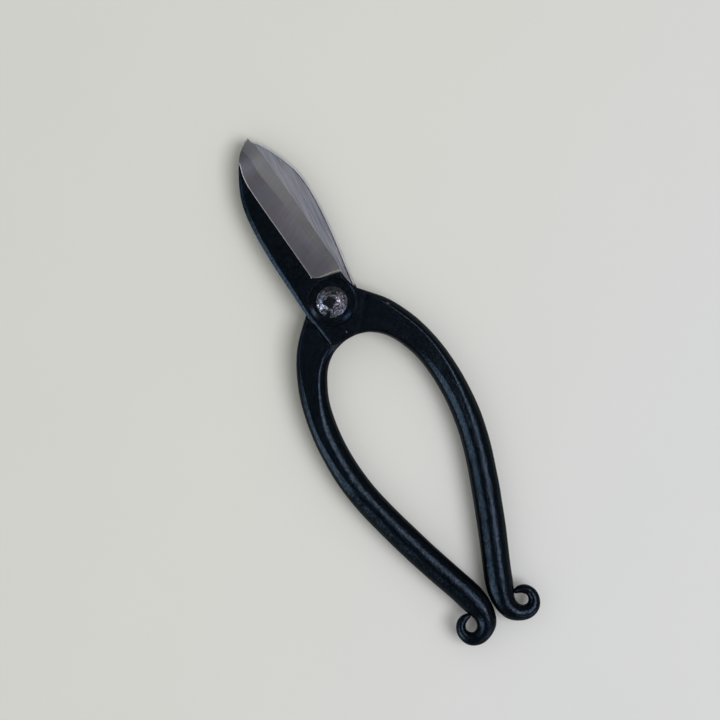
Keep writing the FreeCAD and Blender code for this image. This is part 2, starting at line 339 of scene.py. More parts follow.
def slope(width, drop, start, turn):
    """Distances from the crease and drops below the flat, for points from the outline up to the crease."""
    straight = min(start * width, 0.8 * drop)
    curved = 1 - (1 - TURN ** turn) ** (1 / turn)
    return TURN * width, straight * TURN + (drop - straight) * curved


def chamfer(width, drop):
    """The same as slope, for a flat chamfer that is rounded where it leaves the flat."""
    return TURN * width, drop * np.where(TURN < FILLET, TURN ** 2 / (2 * FILLET), TURN - FILLET / 2)


def face_profile(width, top, left, right):
    """Distances across and heights of one face, from two (distances, drops) slopes and the flat between."""
    near, far = left[0][0], width - right[0][0]
    flat = np.concatenate([[near + CREASE / 2], np.linspace(near + CREASE, far - CREASE, FLAT_POINTS - 2),
                           [far - CREASE / 2]])
    x = np.concatenate([near - left[0], flat, (far + right[0])[::-1]])
    h = top - np.concatenate([left[1], np.zeros(FLAT_POINTS), right[1][::-1]])
    return x, h


def blade_rows():
    """Rows from the tip to the heel: both outline points, then what section_ring lists."""
    rows = []
    for y in [TIP_Y, 56.0, 55.7, 55.3, 54.8, 54.0, 53.0, 52.0] + list(np.arange(50.5, 9.0, -1.5)):
        left = 0.25 + 1.1 * smooth_step(50.0, 43.0, y)
        left = min(left, 0.3 * (edge_x(y) - spine_x(y)) + 0.02)
        rows.append((spine_x(y), y, edge_x(y), y, 0, LAP, left, 0.05, left, 0.05))
    return rows


def lap_rows():
    """Rows beside the pivot, down to the foot of the spine."""
    neck = Curve([(6.85, 7.3), (7.0, 5.0), (7.65, 2.6), (8.5, 0.6)])
    rows = []
    left = Curve([(spine_x(9.0), 9.0), (spine_x(5.0), 5.0), (-8.85, 1.0), (-7.72, -5.3), FOOT])
    for t in np.linspace(0, 1, 15):
        lx, ly = left(t * left.ts[-1])
        rx, ry = neck(min(1.0, t * 1.05) * neck.ts[-1])
        width = 1.35 - 0.3 * smooth_step(9.0, 0.0, ly)
        neck_width = 0.05 + 0.65 * smooth_step(0, 0.2, t)
        rows.append((lx, ly, rx, ry, 0, LAP, width, neck_width, width, neck_width))
    return rows


def bow_rows():
    """Rows from the foot of the spine through the crotch, the bow and the curl."""
    rows = [lap_rows()[-1]]
    for lx, ly, rx, ry in [(-4.2, -12.0, 8.9, 0.15), (-1.6, -12.1, 9.45, -0.4), (1.0, -12.1, 10.2, -1.15),
                           (3.6, -12.6, 11.5, -2.5)]:
        weight = 0.05 + 0.3 * smooth_step(-1, 4, lx)
        rows.append((lx, ly, rx, ry, weight, LAP, 0.8, 0.9, 1.3, 1.1))
    line = Curve([(x, y) for x, y, _, _ in BAR])
    levels = [row[0] for row in SLOPES][::-1]
    for i, (x, y, width, height) in enumerate(BAR):
        tangent = line.tangent(line.ts[i])
        normal = np.array([tangent[1], -tangent[0]])
        left = np.array([x, y]) + normal * width / 2
        right = np.array([x, y]) - normal * width / 2
        weight = BOW_WEIGHT[i] if i < len(BOW_WEIGHT) else 1.0
        widths = [width * np.interp(y, levels, [row[k] for row in SLOPES][::-1]) for k in range(1, 5)]
        rows.append((*left, *right, weight, height / 2, *widths))
    return rows


def refined(rows, spacing):
    """Rows along a smooth curve through the given ones, about spacing apart."""
    rows = np.array(rows)
    middles = (rows[:, 0:2] + rows[:, 2:4]) / 2
    ts = np.concatenate([[0], np.cumsum(np.linalg.norm(np.diff(middles, axis=0), axis=1))])
    curve = Curve(rows, ts)
    count = max(2, int(ts[-1] / spacing))
    return [curve(t) for t in np.linspace(0, ts[-1], count + 1)]


def section_ring(row):
    """Closed ring of (x, y, h) points for one row, over the top from left to right and back below.

    A row holds the left and right outline points, how round the bar is, half the height of its stock, and the
    widths of the four slopes: left and right on the upper face, left and right on the lower face.
    """
    lx, ly, rx, ry, weight, half_height = row[:6]
    weight = min(max(weight, 0.0), 1.0)
    width = math.hypot(rx - lx, ry - ly)
    y = (ly + ry) / 2
    top = min(top_height(y), half_height * weight + LAP * (1 - weight))
    hammered_part = smooth_step(HAMMERED_TO, HAMMERED_FROM, y)
    across = np.array([rx - lx, ry - ly]) / width
    faces = []
    for k, share in enumerate((0, 2)):
        sides = []
        for side in (share, share + 1):
            widest = width / 2 - 0.01 if weight < 1 else ROUND_REACH * width
            reach = min(max(row[6 + side], 0.02), widest)
            flat_drop = reach * CHAMFER_DROP[side % 2]
            distances, cut_drop = chamfer(reach, flat_drop)
            start = SLOPE_START[side] * hammered_part
            turn = ROUND_TURN + (SLOPE_TURN[side] - ROUND_TURN) * hammered_part
            _, round_drop = slope(reach, top - SIDE * top / LAP, start, turn)
            sides.append((distances, cut_drop * (1 - weight) + round_drop * weight))
        x, h = face_profile(width, top, *sides)
        faces.append(np.stack([lx + across[0] * x, ly + across[1] * x, h if k == 0 else -h], axis=1))
    return np.concatenate([faces[0], faces[1][::-1]])


def curl_end(row):
    """Rings that round off the end of the curl."""
    lx, ly, rx, ry = row[:4]
    middle = np.array([(lx + rx) / 2, (ly + ry) / 2])
    across = np.array([rx - lx, ry - ly])
    half_width = np.linalg.norm(across) / 2
    along = np.array([-across[1], across[0]]) / (2 * half_width)
    rings = []
    for angle in CURL_END_ANGLES:
        shrink = math.cos(math.radians(angle))
        reach = math.sin(math.radians(angle)) * half_width * CURL_END_LENGTH
        moved = middle - along * reach
        ring_row = list(row)
        ring_row[0:2] = moved - across / 2 * shrink
        ring_row[2:4] = moved + across / 2 * shrink
        ring_row[5:] = [value * shrink for value in row[5:]]
        rings.append(section_ring(ring_row))
    return rings


def hammered(ring, half):
    """Slight unevenness left by the forging, none of it on the blade."""
    shift = 31.0 if half == LOWER else 0.0
    out = []
    for x, y, h in ring:
        amount = UNEVEN * smooth_step(2.0, -14.0, y)
        place = Vector((x * 0.13 + shift, y * 0.13, h * 0.1))
        bump = noise.noise(place) * amount
        side = noise.noise(place + Vector((7.7, 0, 0))) * amount * 2
        out.append((x + side * 0.6, y + side * 0.3, h + math.copysign(bump, h)))
    return out


def forging(name, half, black):
    """One half before it is ground: blade, lap, bow and curl in a single skin."""
    rings = [section_ring(r) for r in refined(blade_rows(), BLADE_STEP)]
    rings += [section_ring(r) for r in refined(lap_rows(), LAP_STEP)]
    bow = refined(bow_rows(), BOW_STEP)
    rings += [section_ring(r) for r in bow[1:]]
    rings += curl_end(bow[-1])
    points = [placed(p, half) for ring in rings for p in hammered(ring, half)]
    return mesh_object(name, points, ring_faces(len(rings), 2 * ACROSS), [black])


# ---------------------------------------------------------------- grinding and cutting

REACH = 3.0             # how far a cutter runs past the metal it takes away
FAR = 60.0              # well outside the tool
BEYOND_TIP = 80.0       # y well past the tip
HEEL_WALL = 6.0         # height of the heel's wall in the cutter
HEEL_SLANT = 0.9        # how far that wall leans back over its height
HEEL_RIM = 0.55         # width of the bright rim that runs along the heel's wall
BORDER_LINE = 0.20      # width of the bright line along the bevel's upper border
BEVEL_DIP = 0.05        # how far the bevel dips in its middle
SWEEP_CLEARANCE = 0.25  # room beside the other half as it turns
HOLLOW_DEPTH = 0.28
HOLLOW_TOP, HOLLOW_FULL = 54.6, 48.0        # y where the hollow starts below the tip, and where it is full
HOLLOW_END, HOLLOW_FADE = 2.0, 8.0          # y where it ends beside the pivot, and where it starts to fade
SPINE_FLAT = 0.75       # width left flat beside the spine
EDGE_FLAT = 0.45        # width left flat beside the cutting edge
RIDGE = 0.32            # width of the steep ridge where the hollow starts


def strip_cutter(name, top, bottom, materials, kinds, end_kind=0):
    """Closed cutter between two grids of points, its columns faced with materials by the list of kinds.

    end_kind, where given, faces the last row instead.
    """
    rows, columns = len(top), len(top[0])
    points = [p for grid in (top, bottom) for row in grid for p in row]
    shift = rows * columns
    faces, chosen = [], []

    def wall(a, b, kind):
        faces.append((a, b, b + shift, a + shift))
        chosen.append(kind)

    for i in range(rows - 1):
        for k in range(columns - 1):
            a = i * columns + k
            faces.append((a, a + columns, a + columns + 1, a + 1))
            faces.append((a + shift, a + 1 + shift, a + columns + 1 + shift, a + columns + shift))
            chosen += [end_kind if end_kind and i == rows - 2 else kinds[k], 0]
        wall(i * columns, (i + 1) * columns, kinds[0])
        wall((i + 2) * columns - 1, (i + 1) * columns - 1, kinds[-1])
    last = (rows - 1) * columns
    for k in range(columns - 1):
        wall(k + 1, k, 0)
        wall(last + k, last + k + 1, 0)
    return mesh_object(name, points, faces, materials, chosen)


def bevel_cutter(half, ground, worn):
    """Block above the ground bevel, with the bevel on its underside and the heel's small wall at its end."""
    inside = np.linspace(0, 1, 20) ** 1.1
    under = []
    for y in [58.5, 57.0] + list(np.arange(56.0, 9.0, -1.0)):
        left, right = border_x(min(y, BORDER[0][0])), edge_x(min(y, TIP_Y))
        rise = (top_height(y) - EDGE_LAND) / (right - left)
        first = left + BORDER_LINE
        middle = first + (right - first) * inside
        xs = np.concatenate([[left - REACH, first - 0.001], middle, [right + REACH]])
        dips = BEVEL_DIP * np.sin(np.clip((xs - left) / (right - left), 0, 1) * math.pi)
        under.append([(x, y, EDGE_LAND + rise * (right - x) - dip) for x, dip in zip(xs, dips)])
    heel = Curve([(x, y) for x, y in HEEL])
    rim, end = [], []
    for x, y, h in under[-1]:
        share = np.clip((x - HEEL[0][0]) / (HEEL[-1][0] - HEEL[0][0]), 0, 1.2)
        stop = heel(share * heel.ts[-1])[1]
        rim.append((x, min(y - 0.01, stop + HEEL_RIM * smooth_step(-0.1, 0.6, share)), h))
        end.append((x, stop, h))
    under += [rim, end]
    top = [[placed(p, half) for p in row] for row in under]
    bottom = [[placed((x, y, h + HEEL_WALL), half) for x, y, h in row] for row in under]
    bottom[-1] = [placed((x, y - HEEL_SLANT, h + HEEL_WALL), half) for x, y, h in under[-1]]
    kinds = [1, 1] + [0] * (len(top[0]) - 3)
    return strip_cutter("bevel_cutter", top, bottom, [ground, worn], kinds, 1)


def lap_cutter(half, face):
    """Everything below the sliding face that the other half's lap and blade pass through."""
    opening = math.radians(frame["joints"][0]["range_deg"][1])
    corner, foot, up = np.array([8.85, 1.0]), np.array([6.65, -11.5]), np.array([9.95, 12.0])
    lines = []
    for start, end, turn in ((corner, foot, 0.0), (corner, up, -opening)):
        run = end - start
        normal = np.array([run[1], -run[0]]) / np.linalg.norm(run)
        normal = normal if normal @ start > 0 else -normal
        c, s = math.cos(turn), math.sin(turn)
        turned = np.array([c * normal[0] - s * normal[1], s * normal[0] + c * normal[1]])
        lines.append((turned, normal @ start + SWEEP_CLEARANCE))
    (n0, d0), (n1, d1) = lines
    vertex = np.linalg.solve(np.array([n0, n1]), np.array([d0, d1]))
    low = vertex + np.array([n0[1], -n0[0]]) * FAR
    high = vertex + np.array([-n1[1], n1[0]]) * FAR
    outline = [tuple(vertex), tuple(high), (high[0], BEYOND_TIP)]
    outline += [(-FAR, BEYOND_TIP), (-FAR, low[1]), tuple(low)]
    return prism("lap_cutter", outline, -FAR, GAP, half, face)


def hollow_cutter(half, inner, ridge):
    """Shallow hollow in the inner face. It stops at a steep ridge, a narrow flat short of the spine."""
    top, bottom = [], []
    for y in np.arange(HOLLOW_TOP, HOLLOW_END, -1.25):
        fade = smooth_step(HOLLOW_TOP, HOLLOW_FULL, y) * smooth_step(HOLLOW_END, HOLLOW_FADE, y)
        left, right = spine_x(y) + SPINE_FLAT, edge_x(max(y, CUTTING_EDGE[-1][0])) - EDGE_FLAT
        xs = np.concatenate([[left], np.linspace(left + RIDGE, right, 19)])
        shares = np.concatenate([[0.0], np.linspace(0.24, 1, 19)])
        rise = HOLLOW_DEPTH * fade * (1 - (2 * shares - 1) ** 2) + 0.02 * np.minimum(1, shares * 20)
        top.append([placed((x, y, GAP + 0.001 + r), half) for x, r in zip(xs, rise)])
        bottom.append([placed((x, y, GAP - REACH), half) for x in xs])
    kinds = [1] + [0] * (len(top[0]) - 2)
    return strip_cutter("hollow_cutter", top, bottom, [inner, ridge], kinds)


def spot_face_cutter(half, black):
    """Round seat for the washer, with a sloping wall."""
    spread = SPOT_FACE_WALL * (LAP + REACH - SPOT_FACE)
    rings = []
    for radius, h in ((SPOT_FACE_RADIUS, SPOT_FACE), (SPOT_FACE_RADIUS + spread, LAP + REACH)):
        rings.append([(x, y, h) for x, y in circle(radius, WASHER_SPOKES)])
    return lathe("spot_face", rings, black, half)


def finished(thing, sharp_degrees=28):
    """Smooth shading with crisp edges where faces meet at an angle or one finish meets another."""
    for polygon in thing.data.polygons:
        polygon.use_smooth = True
    thing.data.set_sharp_from_angle(angle=math.radians(sharp_degrees))
    shape = bmesh.new()
    shape.from_mesh(thing.data)
    for edge in shape.edges:
        if len({face.material_index for face in edge.link_faces}) > 1:
            edge.smooth = False
    shape.to_mesh(thing.data)
    shape.free()
    return thing


def make_half(half, side, black, rubbed, ground, inner, ridge, worn, face):
    """The forging and the edge steel of one half, as two pieces."""
    body = forging(side + "_forging", half, black)
    cut(body, lap_cutter(half, face))
    cut(body, bevel_cutter(half, ground, worn))
    cut(body, hollow_cutter(half, inner, ridge))
    cut(body, spot_face_cutter(half, black))
    bore = BORE_RADIUS if half == UPPER else SHANK_RADIUS
    cut(body, prism("bore", circle(bore, BORE_SPOKES), -FAR, FAR, half, rubbed))
    layer_outline = [(-FAR, STEEL_START), (FAR, STEEL_START), (FAR, BEYOND_TIP), (-FAR, BEYOND_TIP)]
    layer = prism("layer", layer_outline, -REACH, STEEL, half, inner)
    steel = body.copy()
    steel.data = body.data.copy()
    steel.name = side + "_cutting_steel"
    bpy.context.scene.collection.objects.link(steel)
    cut(steel, layer, "INTERSECT", keep_cutter=True)
    cut(body, layer)
    for piece, node, slot in ((body, "_half", "black_steel"), (steel, "_edge_steel", "edge_steel")):
        finished(piece)
        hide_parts(side + node)
        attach(piece, half)
    return steel


# ---------------------------------------------------------------- rivet and washers

WASHER_SLOPE = (1.1, 0.93)      # width and height of the washer's sloping rim
HEAD_RINGS = 46


def soft_min(a, b, radius):
    """The smaller of two heights, with the crease between them rounded."""
    share = min(1.0, max(0.0, 0.5 + 0.5 * (b - a) / radius))
    return b + (a - b) * share - radius * share * (1 - share)


def head_surface(seed):
    """Height above the washer of a dome struck with a hammer: one facet on top and others around it."""
    curvature = (HEAD_RADIUS ** 2 + HEAD_HEIGHT ** 2) / (2 * HEAD_HEIGHT)
    drop = curvature - HEAD_HEIGHT
    facets = [(0.55, 2.2, 0.24)]
    for i in range(9):
        angle = seed + 2 * math.pi * i / 9 + 0.2 * math.sin(2.4 * i + seed)
        facets.append((3.1 + 0.3 * math.sin(1.7 * i), angle, 0.07 + 0.05 * math.sin(3.1 * i + seed)))
    for i in range(7):
        angle = seed + 0.4 + 2 * math.pi * i / 7
        facets.append((4.35, angle, 0.03 + 0.02 * math.sin(2.3 * i)))
    planes = []
    for radius, angle, depth in facets:
        normal = np.array([radius * math.cos(angle), radius * math.sin(angle), 0.0]) / curvature
        normal[2] = math.sqrt(1 - normal[0] ** 2 - normal[1] ** 2)
        planes.append((normal, curvature - depth))

    def height(x, y):
        h = math.sqrt(max(0.01, curvature ** 2 - x * x - y * y)) - drop
        for normal, offset in planes:
            plane = (offset - normal[0] * x - normal[1] * y) / normal[2] - drop
            h = soft_min(h, plane, 0.05)
        dents = noise.noise(Vector((x * 1.1, y * 1.1, seed))) * 0.06
        pits = noise.noise(Vector((x * 2.6, y * 2.6, seed + 9))) * 0.035
        return max(0.06, float(h) + dents + pits)

    return height


def head_rings(seed, sign):
    """Rings of one head, from its middle out to its rim and in to the shank."""
    height = head_surface(seed)
    rings = []
    for i in range(HEAD_RINGS):
        radius = HEAD_RADIUS * math.sin(math.pi / 2 * (i + 0.4) / (HEAD_RINGS - 0.6))
        ring = []
        for k in range(RIVET_SPOKES):
            angle = 2 * math.pi * k / RIVET_SPOKES
            out = radius * (1 - 0.012 + 0.012 * math.sin(3 * angle + seed))
            x, y = out * math.cos(angle), out * math.sin(angle)
            ring.append((x, y, sign * (HEAD_BASE + height(x, y))))
        rings.append(ring)
    rim = [(x * 0.985, y * 0.985, sign * HEAD_BASE) for x, y, _ in rings[-1]]
    neck = [(x, y, sign * HEAD_BASE) for x, y in circle(SHANK_RADIUS, RIVET_SPOKES)]
    return rings + [rim, neck]


def rivet():
    """One rivet: a hammered head above, a shank through both halves, and a hammered head below."""
    rings = head_rings(0.9, 1) + head_rings(2.7, -1)[::-1]
    piece = finished(lathe("hammered_rivet", rings, rivet_steel("hammered_steel"), UPPER), 14)
    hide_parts("pivot_rivet")
    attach(piece, LOWER)


def washer(name, node, half, material):
    """Black washer with a wide sloping rim."""
    outer, inner, low, high = WASHER_HIGH.x / MM, SHANK_RADIUS + 0.02, SPOT_FACE, HEAD_BASE
    width, drop = WASHER_SLOPE
    rim = [(outer - width * (1 - t), high - drop * t) for t in np.linspace(0, 1, 6)]
    flat = [(inner + (rim[0][0] - inner) * t, high) for t in (0.3, 0.6, 0.85)]
    profile = [(inner, low), (inner, high)] + flat + rim + [(outer - 0.02, low)]
    rings = []
    for radius, h in profile:
        ring = []
        for x, y in circle(1.0, WASHER_SPOKES):
            wave = noise.noise(Vector((x * 2.0, y * 2.0, h))) * 0.03 * (h > low + 0.05)
            ring.append((x * (radius + wave), y * (radius + wave), h - abs(wave) * (radius > outer - 2)))
        rings.append(ring)
    piece = finished(lathe(name, rings, material, half, closed=True))
    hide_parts(node)
    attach(piece, LOWER)


# ---------------------------------------------------------------- materials

class Nodes:
    """Short calls that add shader nodes to one node tree."""

    def __init__(self, tree):
        self.tree = tree
        tree.nodes.clear()

    def add(self, kind, settings=None, **inputs):
        node = self.tree.nodes.new(kind)
        for key, value in (settings or {}).items():
            setattr(node, key, value)
        for key, value in inputs.items():
            self.put(node.inputs[key.replace("_", " ")], value)
        return node

    def put(self, socket, value):
        if isinstance(value, bpy.types.NodeSocket):
            self.tree.links.new(value, socket)
        else:
            socket.default_value = value

    def vector(self, operation, a, b):
        node = self.add("ShaderNodeVectorMath", {"operation": operation})
        self.put(node.inputs[0], a)
        self.put(node.inputs[1], b)
        return node.outputs["Value" if operation in ("DOT_PRODUCT", "DISTANCE") else "Vector"]

    def math(self, operation, a, b=0.0):
        node = self.add("ShaderNodeMath", {"operation": operation})
        self.put(node.inputs[0], a)
        self.put(node.inputs[1], b)
        return node.outputs[0]

    def total(self, *parts):
        """Sum of (value, weight) pairs."""
        result = 0.0
        for value, weight in parts:
            result = self.math("ADD", result, self.math("MULTIPLY", value, weight))
        return result

    def step(self, value, low, high, first=0.0, last=1.0):
        """Smooth step of a value from low to high, giving first to last."""
        node = self.add("ShaderNodeMapRange", {"interpolation_type": "SMOOTHSTEP"})
        numbers = {"Value": value, "From Min": low, "From Max": high, "To Min": first, "To Max": last}
        for key, number in numbers.items():
            self.put(node.inputs[key], number)
        return node.outputs["Result"]

    def mix(self, share, a, b):
        """Colour between a and b."""
        node = self.add("ShaderNodeMix", {"data_type": "RGBA"})
        self.put(node.inputs[0], share)
        self.put(node.inputs[6], a)
        self.put(node.inputs[7], b)
        return node.outputs[2]

    def blend(self, share, a, b):
        """Number between a and b."""
        node = self.add("ShaderNodeMix", {"data_type": "FLOAT"})
        self.put(node.inputs[0], share)
        self.put(node.inputs[2], a)
        self.put(node.inputs[3], b)
        return node.outputs[0]


class Shader(Nodes):
    """One material. Its patterns are placed in millimetres from the pivot, on the half as it is modelled."""

    def __init__(self, name, side=1):
        self.material = bpy.data.materials.new(name)
        self.material.use_nodes = True
        super().__init__(self.material.node_tree)
        self.output = self.add("ShaderNodeOutputMaterial")
        place = self.add("ShaderNodeTexCoord").outputs["Object"]
        centred = self.vector("SUBTRACT", place, tuple(PIVOT))
        self.place = self.vector("MULTIPLY", centred, (side / MM, 1 / MM, side / MM))
        self.x, self.y, self.h = self.add("ShaderNodeSeparateXYZ", Vector=self.place).outputs

    def noise(self, size, detail=2.0, roughness=0.5, shift=0.0):
        """Soft blotches of about the given size in millimetres."""
        place = self.vector("ADD", self.place, (shift, 2 * shift, 0))
        node = self.add("ShaderNodeTexNoise", Vector=place, Scale=1 / size, Detail=detail,
                        Roughness=roughness)
        return node.outputs["Fac"]

    def streaks(self, angle, length, width, detail=3.0, shift=0.0, sway=0.0):
        """Lines of the given length and width in millimetres, at an angle to x seen from above."""
        c, s = math.cos(math.radians(angle)), math.sin(math.radians(angle))
        along = self.vector("DOT_PRODUCT", self.place, (c / length, s / length, 0))
        across = self.vector("DOT_PRODUCT", self.place, (-s / width, c / width, 0))
        if sway:
            across = self.total((across, 1.0), (self.noise(9.0, 1.0), sway / width))
        place = self.add("ShaderNodeCombineXYZ", X=along, Y=across, Z=shift).outputs[0]
        node = self.add("ShaderNodeTexNoise", Vector=place, Scale=1.0, Detail=detail, Roughness=0.6)
        return node.outputs["Fac"]

    def spots(self, spacing, size, share, shift=0.0):
        """1 in small ragged spots, one for each of a share of cells of the given spacing."""
        warp = self.vector("MULTIPLY", self.vector("SUBTRACT", self.ragged(), (0.5, 0.5, 0.5)), (size,) * 3)
        place = self.vector("ADD", self.vector("ADD", self.place, (shift, 0, shift)), warp)
        cells = self.add("ShaderNodeTexVoronoi", Vector=place, Scale=1 / spacing)
        pick = self.add("ShaderNodeSeparateColor", Color=cells.outputs["Color"]).outputs[0]
        near = self.step(cells.outputs["Distance"], size / spacing, 0.5 * size / spacing)
        return self.math("MULTIPLY", near, self.math("LESS_THAN", pick, share))

    def ragged(self):
        return self.add("ShaderNodeTexNoise", Vector=self.place, Scale=4.0, Detail=3.0).outputs["Color"]

    def edges(self, radius, low=0.02, high=0.25):
        """1 on sharp edges, fading out about radius millimetres from them."""
        rounded = self.add("ShaderNodeBevel", {"samples": 6}, Radius=radius * MM).outputs[0]
        normal = self.add("ShaderNodeNewGeometry").outputs["Normal"]
        same = self.vector("DOT_PRODUCT", rounded, normal)
        return self.step(self.math("SUBTRACT", 1.0, same), low, high)

    def bump(self, height, depth, normal=None):
        """Surface normal with a height map whose full range is depth millimetres."""
        node = self.add("ShaderNodeBump", Height=height, Distance=depth * MM, Strength=1.0)
        if normal is not None:
            self.put(node.inputs["Normal"], normal)
        return node.outputs[0]

    def finish(self, colour, roughness, metallic, normal, **more):
        """Closes the material with its surface."""
        surface = self.add("ShaderNodeBsdfPrincipled", Base_Color=colour, Roughness=roughness,
                           Metallic=metallic, Normal=normal, **more)
        self.tree.links.new(surface.outputs[0], self.output.inputs["Surface"])
        return self.material


def rgb(r, g, b):
    return (r, g, b, 1.0)


BARE_STEEL = rgb(0.42, 0.42, 0.42)
BLACK_SHEEN = rgb(0.50, 0.75, 1.0)
DULL_SHEEN = rgb(0.40, 0.61, 0.83)
# Black of the residue on the rivet, also used there for painted shade
RESIDUE_AND_SHADE_BLACK = rgb(0.006, 0.008, 0.012)
# Ground bevels: tone near the tip, tone near the heel, and the y from and to which the tone drifts
BODY_BEVEL = (rgb(0.15, 0.15, 0.16), rgb(0.41, 0.41, 0.455), (10.0, 46.0))
EDGE_BEVEL = (rgb(0.26, 0.27, 0.265), rgb(0.435, 0.455, 0.455), (8.0, 28.0))
# Small bare nicks in the edges of the outer face: x, y, radius
NICKS = [(-0.3, -10.1, 0.35), (14.9, -8.3, 0.45), (-6.4, -11.0, 0.30), (-8.7, -1.0, 0.35)]


def black_finish(name, rubbed=0.0):
    """Blue-black oxide on forged steel: satin and faintly mottled, with worn creases, scratches and chips."""
    s = Shader(name)
    mottle = s.noise(3.0, 4.0)
    scale = s.noise(0.7, 3.0, shift=11)
    grain = s.noise(0.11)
    colour = s.mix(mottle, rgb(0.0006, 0.0009, 0.0014), rgb(0.0020, 0.0026, 0.0038))
    patches = s.step(s.noise(1.3, 4.0, shift=5), 0.50, 0.66)
    wear = s.math("MULTIPLY", s.edges(0.14, 0.03, 0.12), patches)
    scratch = s.math("MAXIMUM", s.step(s.streaks(62, 5.0, 0.09, 2.0), 0.70, 0.78),
                     s.step(s.streaks(118, 4.0, 0.08, 2.0, 4.0), 0.72, 0.80))
    chips = s.spots(7.0, 0.30, 0.16)
    bare = s.math("MAXIMUM", s.total((wear, 0.20), (scratch, 0.06)), chips)
    if rubbed:
        bare = s.math("MAXIMUM", bare, s.math("MULTIPLY", s.step(s.noise(1.8, 5.0, 0.65), 0.42, 0.6), rubbed))
    for x, y, size in NICKS:
        gap = s.vector("DISTANCE", s.place, (x, y, LAP - 0.1))
        ragged = s.total((gap, 1.0), (scale, 1.2))
        bare = s.math("MAXIMUM", bare, s.step(ragged, 0.6 + size, 0.6 + size / 2))
    colour = s.mix(bare, colour, BARE_STEEL)
    roughness = s.total((s.blend(mottle, 0.14, 0.22), 1.0), (scale, 0.08))
    forged = s.step(s.y, -20.0, -55.0, 0.22, 1.0)
    hammered = s.bump(s.math("MULTIPLY", s.noise(6.0, 2.0, 0.4, 41), forged), 0.28)
    normal = s.bump(grain, 0.003, s.bump(s.math("MULTIPLY", scale, forged), 0.095, hammered))
    sheen = s.mix(s.step(s.noise(1.5, 4.0, 0.6, 21), 0.35, 0.65), DULL_SHEEN, BLACK_SHEEN)
    flecks = s.step(s.noise(0.55, 3.0, 0.6, 31), 0.42, 0.60)
    sheen = s.mix(s.math("MULTIPLY", flecks, 0.75), sheen, rgb(0.10, 0.15, 0.22))
    return s.finish(colour, roughness, s.math("MULTIPLY", bare, 0.9), normal, Specular_IOR_Level=1.0,
                    Specular_Tint=sheen)


def lap_face(name, side):
    """Face that slides on the other half: ground bright on the blade, black and rubbed around the pivot."""
    s = Shader(name, side)
    grind = s.total((s.streaks(92, 8.0, 0.12), 0.5), (s.streaks(88, 20.0, 0.6, 2.0, 5.0), 0.5))
    bright = s.mix(s.step(grind, 0.3, 0.7), rgb(0.60, 0.60, 0.61), rgb(0.92, 0.92, 0.90))
    rub = s.math("MULTIPLY", s.step(s.noise(1.8, 5.0, 0.65), 0.42, 0.6), 0.08)
    black = s.mix(rub, rgb(0.0015, 0.0020, 0.0030), BARE_STEEL)
    reach = s.total((s.y, 1.0), (s.math("ABSOLUTE", s.x), 0.66), (s.noise(1.2, 3.0), 1.5))
    blade = s.step(reach, 7.6, 9.0)
    colour = s.mix(blade, black, bright)
    roughness = s.blend(blade, 0.34, 0.42)
    metallic = s.blend(blade, s.math("MULTIPLY", rub, 0.9), 0.55)
    return s.finish(colour, roughness, metallic, s.bump(grind, 0.004), Specular_IOR_Level=1.0,
                    Specular_Tint=BLACK_SHEEN)


def ground_steel(name, side, tip_tone, heel_tone, drift):
    """Ground bevel, brushed at a slant, with faint stains. Its tone drifts between the two y in drift."""
    s = Shader(name, side)
    brushed = s.total((s.streaks(24, 5.0, 0.10), 0.4), (s.streaks(31, 9.0, 0.45, 2.0, 3.7), 0.35),
                      (s.streaks(97, 14.0, 0.22, 2.0, 8.1), 0.25))
    tone = s.mix(s.step(s.y, *drift), heel_tone, tip_tone)
    stain = s.step(s.noise(9.0, 4.0, shift=3), 0.35, 0.7)
    tone = s.mix(s.math("MULTIPLY", stain, 0.45), tone, rgb(0.20, 0.25, 0.29))
    dull = s.mix(0.72, tone, rgb(0.0, 0.0, 0.0))
    colour = s.mix(s.step(brushed, 0.2, 0.8, 0.55, 1.0), dull, tone)
    specks = s.spots(3.5, 0.18, 0.25, 2.0)
    colour = s.mix(s.math("MULTIPLY", specks, 0.5), colour, rgb(0.05, 0.05, 0.05))
    return s.finish(colour, s.blend(brushed, 0.30, 0.42), 1.0, s.bump(brushed, 0.004))


def inner_steel(name, side):
    """Hollow-ground inner face: brighter and cooler, with wavy streaks along the blade."""
    s = Shader(name, side)
    streak = s.total((s.streaks(94, 9.0, 0.12, sway=0.4), 0.5),
                     (s.streaks(91, 18.0, 0.45, 3.0, 5.0, 0.5), 0.5))
    cloud = s.noise(4.0, 3.0)
    tone = s.mix(s.step(streak, 0.36, 0.64), rgb(0.38, 0.41, 0.49), rgb(0.90, 0.92, 0.95))
    colour = s.mix(s.math("MULTIPLY", cloud, 0.25), tone, rgb(0.66, 0.69, 0.78))
    return s.finish(colour, s.blend(streak, 0.42, 0.32), 0.9, s.bump(streak, 0.006))


def ridge_steel(name):
    """Steep ridge where the hollow starts: darkened beside the pivot with painted shade, lost in the bright
    face at the tip.
    """
    s = Shader(name)
    share = s.step(s.total((s.y, 1.0), (s.noise(2.0, 3.0), 6.0)), 42.0, 54.0)
    # Painted shade: dark tone beside the pivot, fading to bright steel towards the tip
    colour = s.mix(share, rgb(0.10, 0.10, 0.14), rgb(0.70, 0.72, 0.78))
    return s.finish(colour, 0.4, 1.0, s.bump(share, 0.01))


def worn_steel(name):
    """Thin bright line where a ground face meets the black."""
    s = Shader(name)
    share = s.noise(0.5, 3.0)
    bright = s.math("MAXIMUM", s.step(s.y, 40.0, 45.0), s.step(s.y, 10.0, 8.0))
    cool = s.mix(s.step(s.y, 10.0, 40.0), rgb(0.60, 0.585, 0.50), rgb(0.90, 0.92, 0.94))
    tone = s.mix(bright, rgb(0.75, 0.74, 0.74), cool)
    colour = s.mix(share, s.mix(0.5, tone, rgb(0.0, 0.0, 0.0)), tone)
    metallic = s.step(s.y, 8.0, 10.0, 0.35, 0.75)
    return s.finish(colour, 0.42, metallic, s.bump(share, 0.02))


